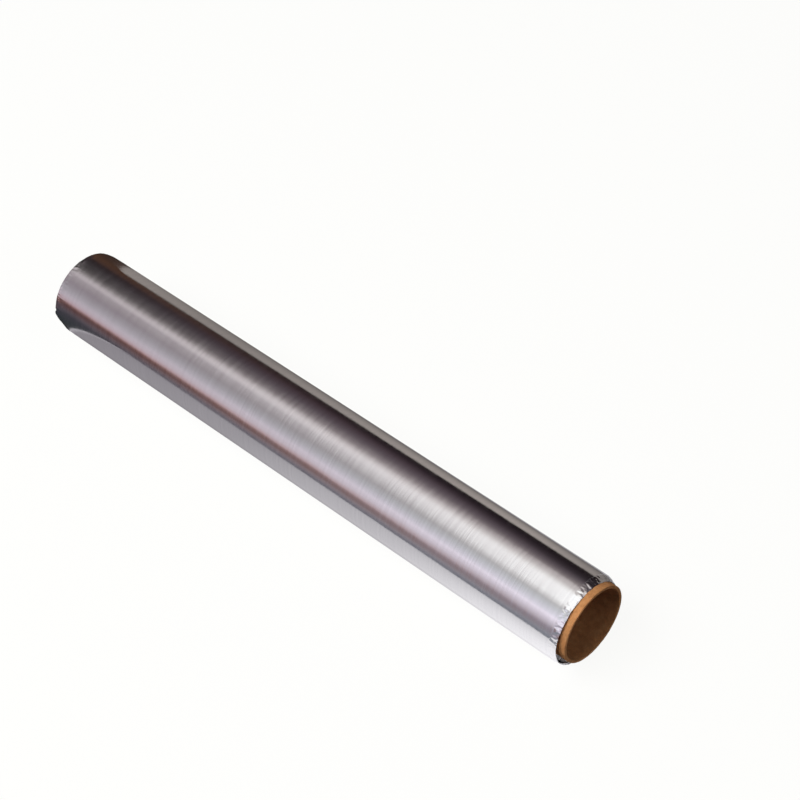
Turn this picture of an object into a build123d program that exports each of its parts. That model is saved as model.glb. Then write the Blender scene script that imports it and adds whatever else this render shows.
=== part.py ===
from build123d import *
import math
import os

# Household aluminium foil roll lying on its side.  All sizes in mm.
# Row frame: +X runs along the roll, towards the end where the core stands
# proud of the foil.  +Z is up, and Z = 0 is the surface the roll rests on.
# X = 0 is half way between the two extreme ends, Y = 0 is the winding's axis.

# ---- driving dimensions ---------------------------------------------------
foil_len = 300.0        # width of the foil, which is the length of the winding
foil_r = 20.2           # radius at the free edge of the last turn
tail_step = 0.10        # step down from the free edge to the turn below it
tail_deg = -35.0        # where the free edge lies: at the back, low down
axis_z = 19.90          # height of the winding's axis; the flat spot is cut at Z = 0

core_r = 17.85          # outside radius of the kraft core
core_wall = 1.3         # core wall, spiral-wound paper
core_len = 300.0
core_out = 2.95         # how far the core stands proud of the foil at +X
core_lift = 1.3         # core axis above the winding's axis: the turns sag below it
core_chamfer = 0.2      # crushed corner of the cut core

turn_inset = 3.8        # the last turn stops this far short of the inner turns at +X
rim_r = 20.04           # radius of the inner turns where the last turn stops
rim_round = 1.4         # length over which the inner turns' edges are pressed down
rim_end_r = 19.40       # radius of the pressed edge at the very end
gap_r = 18.95           # inside of the loose outer turns at each end
gap_depth = 6.0         # how deep the slack between core and outer turns reaches

# ---- derived ---------------------------------------------------------------
x_foil_near = (foil_len - core_out) / 2.0
x_foil_far = x_foil_near - foil_len
x_core_near = x_foil_near + core_out
x_core_far = x_core_near - core_len
core_z = axis_z + core_lift
x_turn_edge = x_foil_near - turn_inset


def x_cylinder(radius, x0, x1, z):
    """Solid cylinder along X from x0 to x1 with its axis at height z."""
    return Plane(origin=(x0, 0, z), x_dir=(0, 1, 0), z_dir=(1, 0, 0)) * extrude(
        Circle(radius), amount=x1 - x0
    )


def wound_outline():
    """One turn of the spiral seen along X: the radius falls by tail_step."""
    n = 48
    pts = []
    for i in range(n + 1):
        a = math.radians(tail_deg) + 2.0 * math.pi * i / n
        r = foil_r - tail_step * i / n
        pts.append((r * math.cos(a), r * math.sin(a)))
    turn = Spline(*pts)
    step = Line(pts[-1], pts[0])
    return make_face([turn, step])


# ---- core tube -------------------------------------------------------------
core_tube = x_cylinder(core_r, x_core_far, x_core_near, core_z) - x_cylinder(
    core_r - core_wall, x_core_far - 1, x_core_near + 1, core_z
)
core_tube = chamfer(core_tube.edges().filter_by(GeomType.CIRCLE), core_chamfer)

# ---- foil winding ----------------------------------------------------------
end_plane = Plane(origin=(x_foil_far, 0, axis_z), x_dir=(0, 1, 0), z_dir=(1, 0, 0))
turns = end_plane * extrude(wound_outline(), amount=foil_len - turn_inset)

# inner turns beyond the last turn's edge, their rim pressed down to a round
with BuildPart() as rim_part:
    with BuildSketch(Plane.XZ):
        with BuildLine():
            l1 = Line((x_turn_edge - 2.0, 0), (x_turn_edge - 2.0, rim_r))
            l2 = Line(l1 @ 1, (x_foil_near - rim_round, rim_r))
            l3 = TangentArc(l2 @ 1, (x_foil_near, rim_end_r), tangent=(1, 0))
            l4 = Line(l3 @ 1, (x_foil_near, 0))
            Line(l4 @ 1, l1 @ 0)
        make_face()
    revolve(axis=Axis.X)
rim = Pos(0, 0, axis_z) * rim_part.part

winding = turns + rim
# flat spot the soft roll rests on
winding -= Pos(0, 0, -10) * Box(foil_len + 20, 60, 20)
# the core's seat
winding -= x_cylinder(core_r, x_foil_far - 1, x_foil_near + 1, core_z)
# slack between the core and the loose outer turns at each end
winding -= x_cylinder(gap_r, x_foil_near - gap_depth, x_foil_near + 1, axis_z)
winding -= x_cylinder(gap_r, x_foil_far - 1, x_foil_far + gap_depth, axis_z)
foil_winding = winding

# ---- write the pieces ------------------------------------------------------
os.makedirs("parts", exist_ok=True)
pieces = {"core_tube": core_tube, "foil_winding": foil_winding}
for name, shape in pieces.items():
    solids = shape.solids()
    shape = solids[0] if len(solids) == 1 else shape
    shape.label = name
    export_step(shape, "parts/" + name + ".step")
    bb = shape.bounding_box()
    print(name, len(solids), round(shape.volume, 1),
          [round(v, 3) for v in (bb.min.X, bb.max.X, bb.min.Y, bb.max.Y, bb.min.Z, bb.max.Z)])
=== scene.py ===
"""Looks of the household foil roll: detailed foil and kraft core, studio, camera.

Everything is in metres in the row frame.  Lengths in the tables below are in
millimetres and are scaled once, when a mesh is made.
"""
import math

import bpy
import bmesh
import numpy as np
from mathutils import Matrix, Vector, noise


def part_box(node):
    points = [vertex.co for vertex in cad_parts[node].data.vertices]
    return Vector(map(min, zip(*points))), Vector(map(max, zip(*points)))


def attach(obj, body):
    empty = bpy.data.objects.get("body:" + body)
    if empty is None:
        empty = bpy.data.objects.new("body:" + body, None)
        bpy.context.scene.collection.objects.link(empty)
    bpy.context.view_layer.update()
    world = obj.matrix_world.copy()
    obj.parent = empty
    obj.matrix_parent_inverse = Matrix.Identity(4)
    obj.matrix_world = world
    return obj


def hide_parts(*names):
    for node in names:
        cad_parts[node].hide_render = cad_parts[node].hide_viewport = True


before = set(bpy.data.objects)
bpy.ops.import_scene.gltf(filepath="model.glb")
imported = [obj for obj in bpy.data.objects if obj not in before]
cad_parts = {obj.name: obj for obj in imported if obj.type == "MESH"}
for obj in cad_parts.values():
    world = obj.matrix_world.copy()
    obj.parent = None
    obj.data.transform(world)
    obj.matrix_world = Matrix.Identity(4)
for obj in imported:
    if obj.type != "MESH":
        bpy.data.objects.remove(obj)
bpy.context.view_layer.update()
scene = bpy.context.scene
MM = 0.001


# --------------------------------------------------------------------------
# sizes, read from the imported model
# --------------------------------------------------------------------------
foil_lo, foil_hi = (np.array(v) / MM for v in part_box("foil_winding"))
core_lo, core_hi = (np.array(v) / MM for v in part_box("core_tube"))
X_FAR, X_NEAR = float(foil_lo[0]), float(foil_hi[0])
CORE_FAR, CORE_NEAR = float(core_lo[0]), float(core_hi[0])
CORE_R = float(core_hi[2] - core_lo[2]) / 2
CORE_Z = float(core_hi[2] + core_lo[2]) / 2
CORE_WALL = 1.3
LIFT = 1.3
AXIS_Z = CORE_Z - LIFT
R0 = 20.2            # radius at the free edge of the last turn
TAIL_STEP = 0.10
TAIL = math.radians(-35.0)
TURN_INSET = 3.8     # the last turn stops this far short of the inner turns
POCKET = 6.0         # slack between the core and the loose outer turns


def smooth(a, b, t):
    t = np.clip((np.asarray(t, float) - a) / (b - a), 0.0, 1.0)
    return t * t * (3 - 2 * t)


def bell(t, centre, width):
    return np.exp(-(((np.asarray(t, float) - centre) / width) ** 2))


def angle_near(phi, centre):
    """Signed difference phi - centre in degrees, wrapped."""
    return (np.degrees(phi) - centre + 180.0) % 360.0 - 180.0


def fbm(x, y, z, octaves=3):
    return noise.fractal(Vector((x, y, z)), 0.9, 2.1, octaves, noise_basis="PERLIN_ORIGINAL")


def field(us, vs, su, sv, seed, octaves=3):
    """Noise over a grid of (x, arc) in mm, periodic round the roll."""
    out = np.empty((len(us), len(vs)))
    rad = (2 * math.pi * R0) / (2 * math.pi * sv)
    for j, v in enumerate(vs):
        a, b = rad * math.cos(v), rad * math.sin(v)
        for i, u in enumerate(us):
            out[i, j] = fbm(u / su + seed, a, b + seed * 1.7, octaves)
    return out


def mesh_object(name, verts, faces, uvs=None, sharp_deg=None):
    me = bpy.data.meshes.new(name)
    me.from_pydata([tuple(v) for v in verts], [], faces)
    if uvs is not None:
        layer = me.uv_layers.new(name="roll")
        loop_uv = np.array([uvs[k][i] for k, f in enumerate(faces) for i in range(len(f))], dtype=np.float32)
        layer.data.foreach_set("uv", loop_uv.ravel())
    me.polygons.foreach_set("use_smooth", [True] * len(me.polygons))
    me.update()
    if sharp_deg is not None:
        bm = bmesh.new()
        bm.from_mesh(me)
        lim = math.radians(sharp_deg)
        for e in bm.edges:
            if len(e.link_faces) == 2 and e.calc_face_angle(0.0) > lim:
                e.smooth = False
        bm.to_mesh(me)
        bm.free()
    me.validate()
    ob = bpy.data.objects.new(name, me)
    scene.collection.objects.link(ob)
    return ob


def polar_shell(name, rows, n, x_of, r_of, z_of, arc_r, sharp_deg):
    """Closed shell whose rows run round the roll and whose columns run along
    a closed profile.  x_of / r_of / z_of give arrays over phi for a row."""
    phis = TAIL + 2 * math.pi * np.arange(n) / n
    verts = np.empty((len(rows), n, 3))
    for i, row in enumerate(rows):
        x, r, z = x_of(row, phis), r_of(row, phis), z_of(row, phis)
        verts[i, :, 0] = x
        verts[i, :, 1] = r * np.cos(phis)
        verts[i, :, 2] = z + r * np.sin(phis)
    # the profile's own length is the running coordinate where x stands still
    m = len(rows)
    faces, uvs = [], []
    along = [float(np.mean(verts[i, :, 0])) for i in range(m)]
    for i in range(m):
        k = (i + 1) % m
        for j in range(n):
            l = (j + 1) % n
            faces.append((i * n + j, i * n + l, k * n + l, k * n + j))
            v0, v1 = j / n, (j + 1) / n
            c = 2 * math.pi * arc_r
            uvs.append(((along[i], v0 * c), (along[i], v1 * c), (along[k], v1 * c), (along[k], v0 * c)))
    ob = mesh_object(name, verts.reshape(-1, 3) * MM, faces, uvs, sharp_deg)
    return ob


# --------------------------------------------------------------------------
# foil winding
# --------------------------------------------------------------------------
N_FOIL = 640
PHIS = TAIL + 2 * math.pi * np.arange(N_FOIL) / N_FOIL
TURN_EDGE = X_NEAR - TURN_INSET


def core_surface(phi):
    """Distance from the winding's axis to the core's outer surface."""
    return LIFT * np.sin(phi) + np.sqrt(CORE_R**2 - (LIFT * np.cos(phi)) ** 2)


def spiral(phi):
    t = ((phi - TAIL) / (2 * math.pi)) % 1.0
    return R0 - TAIL_STEP * t


def flat(phi, r):
    """The flat spot: nothing reaches below Z = 0."""
    low = AXIS_Z + r * np.sin(phi)
    s = np.minimum(np.sin(phi), -1e-6)
    return np.where((low < 0) & (np.sin(phi) < 0), AXIS_Z / -s, r)


def lip_radius(phi):
    """Radius of the inner turns' edge at the near end: drawn in to the core
    at the back, loose and open at the front and below."""
    back = 1 - smooth(45.0, 105.0, np.abs(angle_near(phi, 20.0)))
    low = 1 - smooth(25.0, 75.0, np.abs(angle_near(phi, 262.0)))
    r = 19.72 - 0.95 * back - 0.38 * low
    return np.maximum(r, core_surface(phi) + 0.10)


rng = np.random.default_rng(7)
rim_s = [0.0, 0.22, 0.5, 0.85, 1.25, 1.7, 2.15, 2.6, 3.0, 3.35, 3.6, 3.8]
rim_noise_a = field([X_NEAR - s for s in rim_s], PHIS, 4.2, 3.6, 3.1, 3)
rim_noise_b = field([X_NEAR - s for s in rim_s], PHIS, 2.2, 1.9, 9.4, 2)
edge_noise = field([0.0, 40.0], PHIS, 5.0, 2.6, 21.0, 4)
edge_fine = field([0.0, 40.0], PHIS, 5.0, 0.9, 31.0, 3)
step_noise = field([0.0], PHIS, 5.0, 9.0, 44.0, 3)[0]

main_x = np.concatenate([
    [TURN_EDGE, TURN_EDGE - 0.35, TURN_EDGE - 1.0, TURN_EDGE - 2.2, TURN_EDGE - 4.5, TURN_EDGE - 8.0],
    np.linspace(TURN_EDGE - 14.0, X_FAR + 12.0, 34),
    [X_FAR + 8.0, X_FAR + 5.5, X_FAR + 3.8, X_FAR + 2.6, X_FAR + 1.8, X_FAR + 1.2, X_FAR + 0.7, X_FAR + 0.3, X_FAR],
])
main_noise = field(main_x, PHIS, 34.0, 13.0, 60.0, 2)
far_noise = field(main_x[-9:], PHIS, 2.4, 2.2, 77.0, 4)

rows = []
# near pocket: floor of tight turn edges, then the wall inside the loose turns
for q in range(7):
    rows.append(("floor_near", q / 6.0))
for q in range(4):
    rows.append(("wall_near", q / 3.0))
# three loose edges standing at slightly different lengths
for q in range(6):
    rows.append(("lip", q))
for i, s in enumerate(rim_s):
    rows.append(("rim", i))
for i in range(len(main_x)):
    rows.append(("main", i))
for q in range(4):
    rows.append(("wall_far", q / 3.0))
for q in range(5):
    rows.append(("floor_far", q / 4.0))

near_cut = 0.25 * edge_noise[0] + 0.10 * edge_fine[0]      # raggedness of the near edge
far_in = (
    2.7 * smooth(180.0, 203.0, np.degrees(PHIS) % 360.0) * (1 - smooth(225.0, 275.0, np.degrees(PHIS) % 360.0))
    - 0.55 * bell(angle_near(PHIS, 174.0), 0.0, 4.5)
    + 0.35 * bell(angle_near(PHIS, 168.0), 0.0, 2.2)
    + 0.10 * edge_noise[1]
)


def foil_x(row, phi):
    kind, q = row
    if kind == "floor_near":
        return X_NEAR - POCKET + 0.35 * np.sin(q * 17.0) + 0.15 * edge_fine[0]
    if kind == "wall_near":
        return X_NEAR - POCKET + (POCKET - 1.0) * q + 0 * phi
    if kind == "lip":
        back = [0.55, 0.25, 0.75, 0.15, 0.45, 0.05][q]
        return X_NEAR - back - 0.08 * q % 2 + near_cut * (1 - 0.1 * q) * 0.6 - 0.18
    if kind == "rim":
        s = rim_s[q]
        return X_NEAR - s + near_cut * 0.6 * (1 - s / 3.8) - 0.18 * (1 - s / 3.8) + 0.14 * step_noise * smooth(2.6, 3.8, s)
    if kind == "main":
        x = main_x[q] + 0 * phi
        x = x + 0.14 * step_noise * (1 - smooth(0.0, 8.0, TURN_EDGE - main_x[q]))
        near_far = 1 - smooth(0.0, 12.0, main_x[q] - X_FAR)
        return x + far_in * near_far
    if kind == "wall_far":
        return X_FAR + 1.0 + (POCKET - 1.0) * q + far_in * (1 - q) * 0.8
    return X_FAR + POCKET + 0.3 * np.sin(q * 13.0) + 0 * phi


def foil_r(row, phi):
    kind, q = row
    core = core_surface(phi)
    lip = lip_radius(phi)
    if kind == "floor_near":
        outer = np.maximum(lip - 0.55, core + 0.06)
        return core + 0.03 + (outer - core - 0.03) * q
    if kind == "wall_near":
        return np.maximum(lip - 0.55, core + 0.06)
    if kind == "lip":
        drop = [0.55, 0.42, 0.34, 0.20, 0.13, 0.0][q]
        return np.maximum(lip - drop, core + 0.06 + 0.012 * q) + 0.05 * edge_fine[0] * (q > 0)
    if kind == "rim":
        s = rim_s[q]
        t = smooth(0.0, 1.0, s / 3.8) ** 0.8
        full = spiral(phi) - 0.16
        sag = 0.30 * (1 - smooth(25.0, 75.0, np.abs(angle_near(phi, 262.0))))
        r = lip + (full - sag * (1 - t) - lip) * t
        loud = 1 - smooth(2.4, 3.8, s) * 0.75
        a, b = rim_noise_a[q], rim_noise_b[q]
        r = r + loud * (0.26 * (np.abs(a) - 0.18) + 0.09 * b)
        r = np.minimum(r, spiral(phi) - 0.05)
        return flat(phi, np.maximum(r, core + 0.08))
    if kind == "main":
        x = main_x[q]
        r = spiral(phi) + 0.022 * main_noise[q]
        # the last turn draws in a little towards its own edge
        r = r - 0.10 * (1 - smooth(0.0, 5.0, TURN_EDGE - x)) * (0.6 + 0.4 * step_noise)
        k = len(main_x) - 9
        if q >= k:
            near_far = 1 - smooth(0.0, 5.0, x - X_FAR)
            r = r + near_far * (0.16 * (np.abs(far_noise[q - k]) - 0.2))
            r = r - 0.5 * near_far * bell(angle_near(phi, 190.0), 0.0, 11.0)
            r = r - 0.35 * near_far**2 * bell(angle_near(phi, 40.0), 0.0, 14.0)
        return flat(phi, r)
    if kind == "wall_far":
        return np.maximum(spiral(phi) - 0.95, core + 0.06)
    outer = np.maximum(spiral(phi) - 0.95, core + 0.06)
    return outer + (core + 0.03 - outer) * q


def foil_z(row, phi):
    return AXIS_Z + 0 * phi


foil = polar_shell("foil_turns", rows, N_FOIL, foil_x, foil_r, foil_z, R0, 28.0)
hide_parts("foil_winding")
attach(foil, "root")


# --------------------------------------------------------------------------
# kraft core
# --------------------------------------------------------------------------
N_CORE = 320
CPHI = TAIL + 2 * math.pi * np.arange(N_CORE) / N_CORE
BORE_R = CORE_R - CORE_WALL
PLY_PITCH = 62.0            # one turn of the spiral ply along the tube
core_edge = field([0.0, 60.0], CPHI, 4.0, 3.0, 5.0, 4)
core_fine = field([0.0, 60.0], CPHI, 4.0, 0.8, 15.0, 3)
core_rows = []
out_x = np.concatenate([np.linspace(CORE_FAR + 0.25, CORE_NEAR - 8.0, 40), [CORE_NEAR - 5.0, CORE_NEAR - 3.0, CORE_NEAR - 1.6, CORE_NEAR - 0.7, CORE_NEAR - 0.25]])
in_x = np.concatenate([[CORE_NEAR - 0.2, CORE_NEAR - 0.6, CORE_NEAR - 1.5, CORE_NEAR - 3.0], np.linspace(CORE_NEAR - 5.0, CORE_FAR + 0.2, 70)])
for x in out_x:
    core_rows.append(("out", float(x)))
for q in range(7):
    core_rows.append(("face", q / 6.0))
for x in in_x:
    core_rows.append(("in", float(x)))
for q in range(4):
    core_rows.append(("far", q / 3.0))


def core_x(row, phi):
    kind, q = row
    if kind == "out":
        w = smooth(2.0, 0.0, CORE_NEAR - q) if CORE_NEAR - q < 2 else 0.0
        return q + w * (0.06 * core_edge[0] - 0.04)
    if kind == "face":
        ply = 0.05 * math.sin(q * 19.0)
        dome = -0.10 * (2 * q - 1) ** 4
        return CORE_NEAR - 0.06 + dome + ply * 0.5 + 0.06 * core_edge[0] + 0.04 * core_fine[0] * (0.5 + q)
    if kind == "in":
        w = (1 - smooth(0.0, 2.0, CORE_NEAR - q))
        return q + w * 0.05 * core_edge[0]
    return CORE_FAR + 0.05 + 0.1 * abs(2 * q - 1) ** 3 + 0 * phi


def core_r(row, phi):
    kind, q = row
    if kind == "out":
        seam = ((phi - TAIL) / (2 * math.pi) + q / PLY_PITCH) % 1.0
        return CORE_R - 0.035 - 0.03 * bell(seam, 0.5, 0.006)
    if kind == "face":
        return CORE_R - 0.12 - (CORE_WALL - 0.22) * q + 0.03 * core_fine[0]
    if kind == "in":
        seam = ((phi - TAIL) / (2 * math.pi) + q / PLY_PITCH + 0.43) % 1.0
        step = 0.10 * (1 - smooth(0.0, 0.30, seam))
        gap = 0.10 * bell(seam, 0.0, 0.008) + 0.10 * bell(seam, 1.0, 0.008)
        return BORE_R - step + gap + 0.03 * core_edge[1]
    return BORE_R + 0.08 + (CORE_WALL - 0.16) * q


def core_z(row, phi):
    return CORE_Z + 0 * phi


core = polar_shell("kraft_core", core_rows, N_CORE, core_x, core_r, core_z, CORE_R, 50.0)
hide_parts("core_tube")
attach(core, "root")


# --------------------------------------------------------------------------
# materials
# --------------------------------------------------------------------------
class Tree:
    """Small helper for building node trees."""

    def __init__(self, mat):
        mat.use_nodes = True
        self.nt = mat.node_tree
        self.nt.nodes.clear()

    def add(self, kind, **props):
        n = self.nt.nodes.new(kind)
        inputs = props.pop("inputs", {})
        for k, v in props.items():
            setattr(n, k, v)
        for k, v in inputs.items():
            n.inputs[k].default_value = v
        return n

    def link(self, a, b):
        self.nt.links.new(a, b)

    def math(self, op, a, b=None, clamp=False):
        n = self.add("ShaderNodeMath", operation=op, use_clamp=clamp)
        for i, v in enumerate((a, b)):
            if v is None:
                continue
            if isinstance(v, (int, float)):
                n.inputs[i].default_value = v
            else:
                self.link(v, n.inputs[i])
        return n.outputs[0]

    def noise(self, vec, scale, detail=3.0, rough=0.55, offset=(0, 0, 0)):
        m = self.add("ShaderNodeMapping", inputs={"Location": offset, "Scale": scale})
        self.link(vec, m.inputs["Vector"])
        n = self.add("ShaderNodeTexNoise", inputs={"Scale": 1.0, "Detail": detail, "Roughness": rough})
        self.link(m.outputs[0], n.inputs["Vector"])
        return n.outputs["Fac"]

    def ramp(self, fac, stops):
        n = self.add("ShaderNodeValToRGB")
        el = n.color_ramp.elements
        while len(el) > 1:
            el.remove(el[-1])
        el[0].position, el[0].color = stops[0][0], stops[0][1]
        for p, c in stops[1:]:
            e = el.new(p)
            e.color = c
        self.link(fac, n.inputs[0])
        return n.outputs[0]

    def bump(self, height, distance, strength=1.0, normal=None):
        n = self.add("ShaderNodeBump", inputs={"Strength": strength, "Distance": distance})
        self.link(height, n.inputs["Height"])
        if normal is not None:
            self.link(normal, n.inputs["Normal"])
        return n.outputs[0]


def foil_material():
    mat = bpy.data.materials.new("bright_foil")
    t = Tree(mat)
    uv = t.add("ShaderNodeUVMap", uv_map="roll").outputs[0]
    # rolling lines: fine across X, long round the roll
    fine = t.noise(uv, (1 / 0.55, 1 / 16.0, 1), 2.0, 0.6, (3.0, 1.0, 0))
    mid = t.noise(uv, (1 / 2.6, 1 / 38.0, 1), 2.0, 0.5, (11.0, 4.0, 0))
    broad = t.noise(uv, (1 / 24.0, 1 / 15.0, 1), 2.0, 0.5, (2.0, 9.0, 0))
    grain = t.noise(uv, (1 / 0.35, 1 / 0.9, 1), 2.0, 0.5, (5.0, 5.0, 0))
    b1 = t.bump(broad, 0.000060)
    b2 = t.bump(mid, 0.000040, normal=b1)
    b3 = t.bump(fine, 0.000016, normal=b2)
    b4 = t.bump(grain, 0.0000040, normal=b3)
    # tone: rolled streaks are very slightly lighter and darker
    tone = t.ramp(t.noise(uv, (1 / 1.1, 1 / 60.0, 1), 3.0, 0.6, (7.0, 2.0, 0)), [
        (0.30, (0.885, 0.885, 0.895, 1)),
        (0.70, (0.935, 0.935, 0.94, 1)),
    ])
    rough = t.add("ShaderNodeMapRange", inputs={"From Min": 0.3, "From Max": 0.7, "To Min": 0.11, "To Max": 0.16})
    t.link(t.noise(uv, (1 / 3.0, 1 / 20.0, 1), 3.0, 0.6, (1.0, 8.0, 0)), rough.inputs[0])
    tan = t.add("ShaderNodeTangent", direction_type="UV_MAP", uv_map="roll").outputs[0]
    p = t.add("ShaderNodeBsdfPrincipled", inputs={"Metallic": 1.0, "Anisotropic": 0.95})
    t.link(tone, p.inputs["Base Color"])
    t.link(rough.outputs[0], p.inputs["Roughness"])
    t.link(b4, p.inputs["Normal"])
    t.link(tan, p.inputs["Tangent"])
    out = t.add("ShaderNodeOutputMaterial")
    t.link(p.outputs[0], out.inputs[0])
    return mat


def kraft_material():
    mat = bpy.data.materials.new("kraft_board")
    t = Tree(mat)
    obj = t.add("ShaderNodeTexCoord").outputs["Object"]
    uv = t.add("ShaderNodeUVMap", uv_map="roll").outputs[0]
    fibres = t.noise(uv, (1 / 0.35, 1 / 1.6, 1), 4.0, 0.65)
    mottle = t.noise(obj, (420, 420, 420), 4.0, 0.6)
    cloud = t.noise(obj, (60, 90, 90), 3.0, 0.5, (2.0, 0, 0))
    base = t.ramp(mottle, [
        (0.25, (0.46, 0.200, 0.075, 1)),
        (0.50, (0.60, 0.275, 0.105, 1)),
        (0.75, (0.68, 0.350, 0.150, 1)),
    ])
    light = t.ramp(fibres, [(0.35, (0.86, 0.84, 0.82, 1)), (0.65, (1.08, 1.06, 1.04, 1))])
    mul = t.add("ShaderNodeMix", data_type="RGBA", blend_type="MULTIPLY", inputs={0: 1.0})
    t.link(base, mul.inputs[6])
    t.link(light, mul.inputs[7])
    mul2 = t.add("ShaderNodeMix", data_type="RGBA", blend_type="MULTIPLY", inputs={0: 1.0})
    t.link(mul.outputs[2], mul2.inputs[6])
    t.link(t.ramp(cloud, [(0.3, (0.90, 0.90, 0.90, 1)), (0.7, (1.06, 1.06, 1.06, 1))]), mul2.inputs[7])
    b1 = t.bump(cloud, 0.00012)
    b2 = t.bump(mottle, 0.00006, normal=b1)
    b3 = t.bump(fibres, 0.00005, normal=b2)
    p = t.add("ShaderNodeBsdfPrincipled", inputs={"Roughness": 0.82, "Specular IOR Level": 0.25})
    t.link(mul2.outputs[2], p.inputs["Base Color"])
    t.link(b3, p.inputs["Normal"])
    out = t.add("ShaderNodeOutputMaterial")
    t.link(p.outputs[0], out.inputs[0])
    return mat


foil.data.materials.append(foil_material())
core.data.materials.append(kraft_material())


# --------------------------------------------------------------------------
# studio
# --------------------------------------------------------------------------
def lin(v):
    v = np.asarray(v, float) / 255.0
    return np.where(v <= 0.04045, v / 12.92, ((v + 0.055) / 1.055) ** 2.4)


def only_reflections(ob):
    ob.visible_camera = False
    ob.visible_diffuse = False
    ob.visible_transmission = False
    ob.visible_volume_scatter = False
    ob.visible_shadow = False
    ob.visible_glossy = True


def glow_material(name):
    mat = bpy.data.materials.new(name)
    t = Tree(mat)
    a = t.add("ShaderNodeAttribute", attribute_name="glow")
    e = t.add("ShaderNodeEmission", inputs={"Strength": 1.0})
    out = t.add("ShaderNodeOutputMaterial")
    t.link(a.outputs["Color"], e.inputs["Color"])
    t.link(e.outputs[0], out.inputs[0])
    return mat


def glow_grid(name, pts, colours, wrap=False):
    """A grid of points (m, n, 3) in mm with a linear colour at each."""
    m, n = pts.shape[:2]
    faces = []
    for i in range(m - 1):
        for j in range(n if wrap else n - 1):
            l = (j + 1) % n
            faces.append((i * n + j, i * n + l, (i + 1) * n + l, (i + 1) * n + j))
    me = bpy.data.meshes.new(name)
    me.from_pydata([tuple(p) for p in pts.reshape(-1, 3) * MM], [], faces)
    attr = me.color_attributes.new("glow", "FLOAT_COLOR", "POINT")
    rgba = np.ones((m * n, 4), dtype=np.float32)
    rgba[:, :3] = colours.reshape(-1, 3)
    attr.data.foreach_set("color", rgba.ravel())
    me.materials.append(glow_material(name))
    ob = bpy.data.objects.new(name, me)
    scene.collection.objects.link(ob)
    only_reflections(ob)
    return ob


# A light tent round the roll, seen only in reflections.  Its tone is graded
# round the roll (degrees, 0 = level at the back, 90 = overhead, 180 = level in
# front) and along it.  Each stop gives its angle and tone at the far end, the
# middle and the near end.
F, M_, N_ = 0, 1, 2
TENT = [
    # angle far/mid/near        tone far              tone mid              tone near
    ((-60, -60, -60), (48, 36, 32), (70, 64, 62), (80, 74, 70)),
    ((-8, -8, -8), (60, 42, 34), (60, 52, 50), (60, 54, 52)),
    ((14, 14, 8), (80, 56, 42), (34, 26, 28), (20, 14, 16)),
    ((28, 21, 14), (70, 50, 40), (38, 28, 32), (24, 17, 20)),
    ((36, 33, 34), (26, 20, 19), (62, 50, 56), (50, 44, 48)),
    ((56, 52, 48), (38, 36, 36), (84, 74, 80), (92, 84, 88)),
    ((72, 68, 56), (46, 43, 42), (108, 98, 102), (120, 111, 112)),
    ((84, 76, 60), (92, 87, 86), (136, 126, 128), (150, 142, 142)),
    ((94, 82, 64), (166, 157, 160), (196, 186, 188), (202, 194, 193)),
    ((98, 86, 72), (172, 162, 166), (199, 189, 191), (196, 190, 189)),
    ((100, 92, 80), (168, 158, 162), (200, 192, 194), (236, 234, 232)),
    ((103, 98, 86), (158, 148, 152), (186, 178, 181), (254, 253, 252)),
    ((106, 103, 110), (150, 140, 145), (166, 159, 162), (254, 253, 252)),
    ((112, 110, 119), (142, 132, 137), (158, 151, 154), (214, 212, 212)),
    ((124, 121, 124), (134, 123, 131), (147, 141, 144), (186, 185, 186)),
    ((134, 134, 132), (141, 132, 139), (157, 154, 158), (196, 197, 202)),
    ((148, 146, 144), (156, 150, 156), (177, 171, 179), (218, 215, 226)),
    ((160, 154, 152), (174, 163, 172), (191, 182, 191), (238, 230, 243)),
    ((168, 165, 161), (176, 158, 166), (188, 176, 184), (208, 200, 212)),
    ((174, 173, 172), (168, 140, 146), (174, 150, 152), (172, 165, 175)),
    ((179, 178, 180), (112, 80, 78), (128, 100, 96), (142, 134, 144)),
    ((184, 184, 188), (76, 52, 52), (112, 88, 86), (134, 130, 138)),
    ((192, 190, 194), (74, 56, 61), (126, 110, 113), (138, 138, 146)),
    ((200, 197, 199), (68, 60, 66), (110, 102, 110), (118, 121, 130)),
    ((214, 204, 206), (56, 54, 60), (74, 72, 80), (96, 98, 106)),
    ((240, 240, 240), (46, 50, 53), (48, 50, 54), (60, 60, 64)),
    ((300, 300, 300), (46, 44, 44), (60, 56, 54), (70, 66, 64)),
]
TENT_R = 2000.0
LOSS = 0.915  # the foil's own reflectance


def three(v, s):
    """Quadratic through values at s = -1, 0, 1, held beyond."""
    a, b, c = (np.asarray(q, float) for q in v)
    s = np.clip(s, -1.08, 1.08)
    return b + (c - a) / 2 * s + ((a + c) / 2 - b) * s * s


def tent_colour(theta, s):
    """theta in degrees (array), s in -1..1 along the roll."""
    ang = np.array([float(three(st[0], s)) for st in TENT])
    ang = np.maximum.accumulate(ang + np.arange(len(ang)) * 1e-3)
    cols = np.array([[float(three([st[k][c] for k in (1, 2, 3)], s)) for c in range(3)] for st in TENT])
    cols = np.clip(cols, 4, 255)
    th = np.where(theta > 300, theta - 360, theta)
    out = np.stack([np.interp(th, ang, cols[:, c]) for c in range(3)], -1)
    return lin(out) / LOSS


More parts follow.
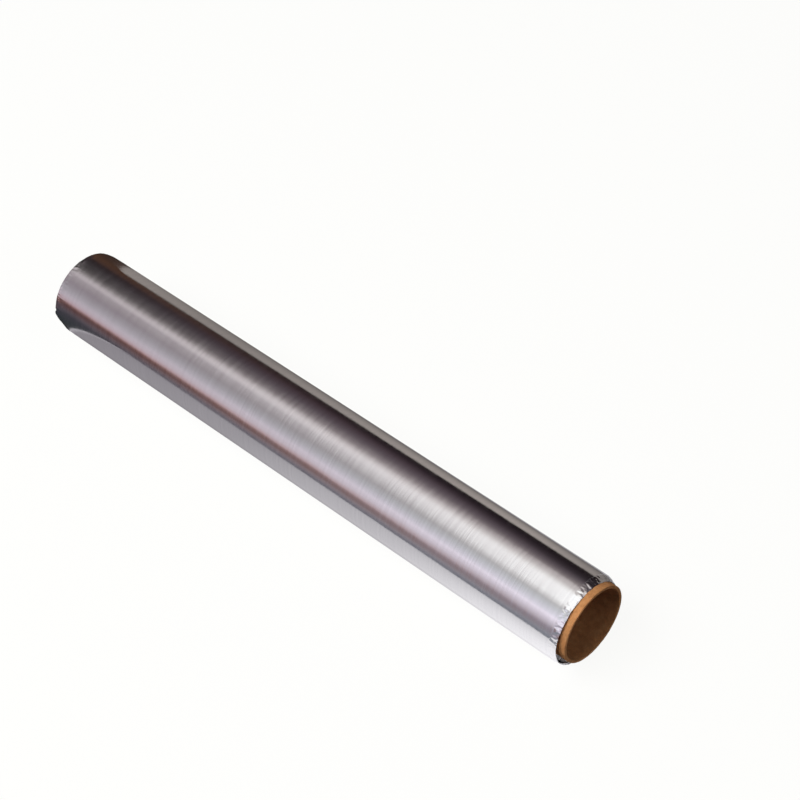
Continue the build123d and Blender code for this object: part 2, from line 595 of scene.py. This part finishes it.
def build_tent():
    n, m = 720, 72
    th = np.arange(n) * 360.0 / n
    xs = np.linspace(-3200.0, 1400.0, m)
    pts = np.empty((m, n, 3))
    col = np.empty((m, n, 3))
    for i, x in enumerate(xs):
        s = float(np.clip((x + 1240.0) / 3.68 / 150.0, -1.08, 1.08))
        pts[i, :, 0] = x
        pts[i, :, 1] = TENT_R * np.cos(np.radians(th))
        pts[i, :, 2] = AXIS_Z + TENT_R * np.sin(np.radians(th))
        col[i] = tent_colour(th, s)
    glow_grid("tent", pts, col, wrap=True)
    # the two ends of the tent
    for name, x, tone in (("tent_far", -3200.0, 96), ("tent_near", 1400.0, 205)):
        r = np.linspace(1.0, TENT_R, 4)
        pts = np.empty((4, 48, 3))
        a = 2 * math.pi * np.arange(48) / 48
        for i in range(4):
            pts[i, :, 0] = x
            pts[i, :, 1] = r[i] * np.cos(a)
            pts[i, :, 2] = AXIS_Z + r[i] * np.sin(a)
        col = np.ones((4, 48, 3)) * lin(tone) / LOSS
        glow_grid(name, pts, col, wrap=True)


def build_painted_sheet_reflection():
    """A glowing card seen only in reflections: the painted reflection of the pale sheet the roll lies on,
    with painted light falloff making it lighter towards the near end, and the roll's own soft contact shade painted in."""
    xs = np.concatenate([np.linspace(-157.0, 220.0, 90), np.linspace(240.0, 900.0, 20)])
    ys = np.concatenate([[-80.0, -79.0], np.linspace(-76.0, -4.0, 49), np.linspace(0.0, 320.0, 60)])
    pts = np.empty((len(xs), len(ys), 3))
    col = np.empty_like(pts)
    for i, x in enumerate(xs):
        s = np.clip(x / 150.0, -1.1, 1.1)
        # painted light falloff: the sheet's mirror image is lighter towards the near end
        level = np.interp(s, [-1.1, -0.93, -0.33, 0.0, 0.33, 0.66, 0.93, 1.1], [134, 138, 153, 174, 192, 222, 240, 244])
        tint = np.array([0.4 - 0.2 * s, -2.6 + 1.2 * s, 1.6])
        y = ys
        grade = 1.0 + 0.0 * y
        v = level + 0 * y
        # away from the roll at the front it is a little darker towards the near end
        v = v - (6 + 16 * smooth(0.2, 1.0, s)) * (1 - smooth(-72, -26, y)) * smooth(-0.2, 0.6, s)
        # painted reflection beside the roll: a faint lighter line, the painted contact shadow as a darker line, and a
        # lighter strip right under the roll
        v = v + 5 * bell(y, -22.5, 2.5) * smooth(-0.6, 0.2, s)
        v = v - 13 * bell(y, -18.6, 2.0)
        v = v + (36 - 30 * smooth(-0.3, 0.9, s)) * smooth(-17.0, -10.0, y) * (y < 0)
        v = np.where(y > 0, 150.0 + 14 * s, v)
        # painted highlight: bright cut edge of the sheet at the left
        v = v + 46 * bell(x, -156.6, 1.6)
        rgb = np.clip(v[:, None] + tint[None, :], 5, 255)
        pts[i, :, 0], pts[i, :, 1], pts[i, :, 2] = x, y, -0.2
        col[i] = lin(rgb) / LOSS
    glow_grid("painted_sheet_reflection", pts, col)


def build_painted_block_reflection():
    """A glowing card behind the roll, seen only in reflections: the painted reflection of a plain blank block, with
    painted shade darkening its foot and a painted highlight along its top edge.
    """
    xs = np.linspace(-152.0, 154.0, 60)
    zs = np.array([0.0, 1.5, 4.0, 9.0, 18.0, 30.0, 41.0, 42.6, 43.2])
    pts = np.empty((len(xs), len(zs), 3))
    col = np.empty_like(pts)
    for i, x in enumerate(xs):
        y = 31.3 + (x + 152.0) / 306.0 * 36.6
        s = x / 150.0
        top = np.interp(s, [-1, -0.6, 0.0, 0.6, 1.0], [134, 128, 140, 150, 120])
        # painted shade: the block's mirror image darkens towards its foot, and a painted highlight lightens its top
        # edge
        tone = np.interp(zs, [0, 1.5, 4, 12, 30, 41, 42.6, 43.2], [0.40, 0.46, 0.60, 0.82, 0.97, 1.0, 1.12, 1.12]) * top
        rgb = tone[:, None] * np.array([1.04, 0.985, 0.955])[None, :]
        pts[i, :, 0], pts[i, :, 1], pts[i, :, 2] = x, y, zs
        col[i] = lin(np.clip(rgb, 5, 255)) / LOSS
    glow_grid("painted_block_reflection", pts, col)


build_tent()
build_painted_sheet_reflection()
build_painted_block_reflection()

# the floor that the camera sees
me = bpy.data.meshes.new("floor")
me.from_pydata([(-45, -45, -0.0001), (45, -45, -0.0001), (45, 45, -0.0001), (-45, 45, -0.0001)], [], [(0, 1, 2, 3)])
floor = bpy.data.objects.new("floor", me)
scene.collection.objects.link(floor)
mat = bpy.data.materials.new("floor_white")
t = Tree(mat)
fd = t.add("ShaderNodeBsdfDiffuse", inputs={"Color": (0.07, 0.07, 0.07, 1)})
fe = t.add("ShaderNodeEmission", inputs={"Color": (1.0, 1.0, 0.985, 1), "Strength": 0.93})
fa = t.add("ShaderNodeAddShader")
fo = t.add("ShaderNodeOutputMaterial")
t.link(fd.outputs[0], fa.inputs[0])
t.link(fe.outputs[0], fa.inputs[1])
t.link(fa.outputs[0], fo.inputs[0])
floor.data.materials.append(mat)
floor.visible_glossy = False
floor.visible_diffuse = False

world = bpy.data.worlds.new("studio")
scene.world = world
world.use_nodes = True
bg = world.node_tree.nodes["Background"]
bg.inputs[0].default_value = (1.0, 1.0, 0.995, 1)
bg.inputs[1].default_value = 0.04


def soft_box(name, at, aim, size, power):
    li = bpy.data.lights.new(name, "AREA")
    li.shape = "RECTANGLE"
    li.size, li.size_y = size
    li.energy = power
    ob = bpy.data.objects.new(name, li)
    scene.collection.objects.link(ob)
    ob.location = at
    ob.rotation_mode = "QUATERNION"
    ob.rotation_quaternion = (Vector(at) - Vector(aim)).to_track_quat("Z", "Y")
    ob.visible_glossy = False
    ob.visible_camera = False
    return ob


soft_box("key", (-0.35, -0.75, 1.35), (0, 0, 0.02), (1.3, 1.0), 27.0)
soft_box("mouth", (1.05, 0.05, 0.50), (0.15, 0, 0.01), (0.4, 0.4), 1.6)

# --------------------------------------------------------------------------
# camera, at the photograph's viewing angle
# --------------------------------------------------------------------------
cam_data = bpy.data.cameras.new("camera")
cam_data.sensor_width = 36.0
cam_data.lens = 93.366
cam_data.clip_start, cam_data.clip_end = 0.01, 50.0
cam = bpy.data.objects.new("camera", cam_data)
scene.collection.objects.link(cam)
cam.rotation_mode = "QUATERNION"
rot = Matrix((
    (0.732779, -0.462209, 0.499397),
    (0.674977, 0.586761, -0.447344),
    (-0.08626, 0.664886, 0.741947),
))
cam.location = (0.463162, -0.365647, 0.693952)
cam.rotation_quaternion = rot.to_quaternion()
scene.camera = cam

scene.view_settings.view_transform = "Standard"
scene.view_settings.look = "None"
